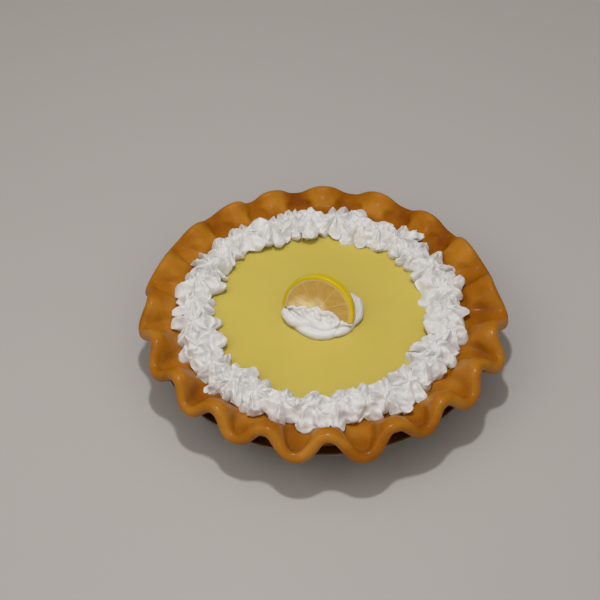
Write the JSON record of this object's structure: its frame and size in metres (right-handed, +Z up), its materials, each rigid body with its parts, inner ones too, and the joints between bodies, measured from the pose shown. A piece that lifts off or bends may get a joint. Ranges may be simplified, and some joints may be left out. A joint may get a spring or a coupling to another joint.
{
  "type": "no-bake lemon pie",
  "caption": "Whole lemon pie in its metal pie tin, with a ruffled crust, smooth filling, a ring of piped cream stars and a half slice of lemon in a cream swirl.",
  "frame": {"origin": "centre of the tin's flat base, on the surface it stands on", "axes": "+Z up; -Y towards the front, where the lemon slice's cut face looks; +X to the right seen from the front"},
  "size_m": [0.2656, 0.2625, 0.0681],
  "materials": {
    "tin": "satin pressed sheet",
    "crust": "satin golden-brown crust, smooth as moulded",
    "filling": "smooth satin lemon yellow",
    "cream": "soft white whipped cream",
    "lemon": "yellow rind, tan pith and amber pulp, glossy"
  },
  "bodies": {
    "root": {"tin": "tin", "crust": "crust", "filling": "filling", "cream_star_01": "cream", "cream_star_02": "cream", "cream_star_03": "cream", "cream_star_04": "cream", "cream_star_05": "cream", "cream_star_06": "cream", "cream_star_07": "cream", "cream_star_08": "cream", "cream_star_09": "cream", "cream_star_10": "cream", "cream_star_11": "cream", "cream_star_12": "cream", "cream_star_13": "cream", "cream_star_14": "cream", "cream_star_15": "cream", "cream_star_16": "cream", "cream_star_17": "cream", "cream_star_18": "cream", "cream_star_19": "cream", "cream_star_20": "cream", "cream_star_21": "cream", "cream_star_22": "cream", "cream_star_23": "cream", "cream_star_24": "cream", "cream_star_25": "cream", "cream_star_26": "cream", "cream_star_27": "cream", "cream_star_28": "cream", "cream_star_29": "cream", "cream_star_30": "cream", "cream_swirl": "cream", "lemon_slice": "lemon"}
  },
  "joints": []
}
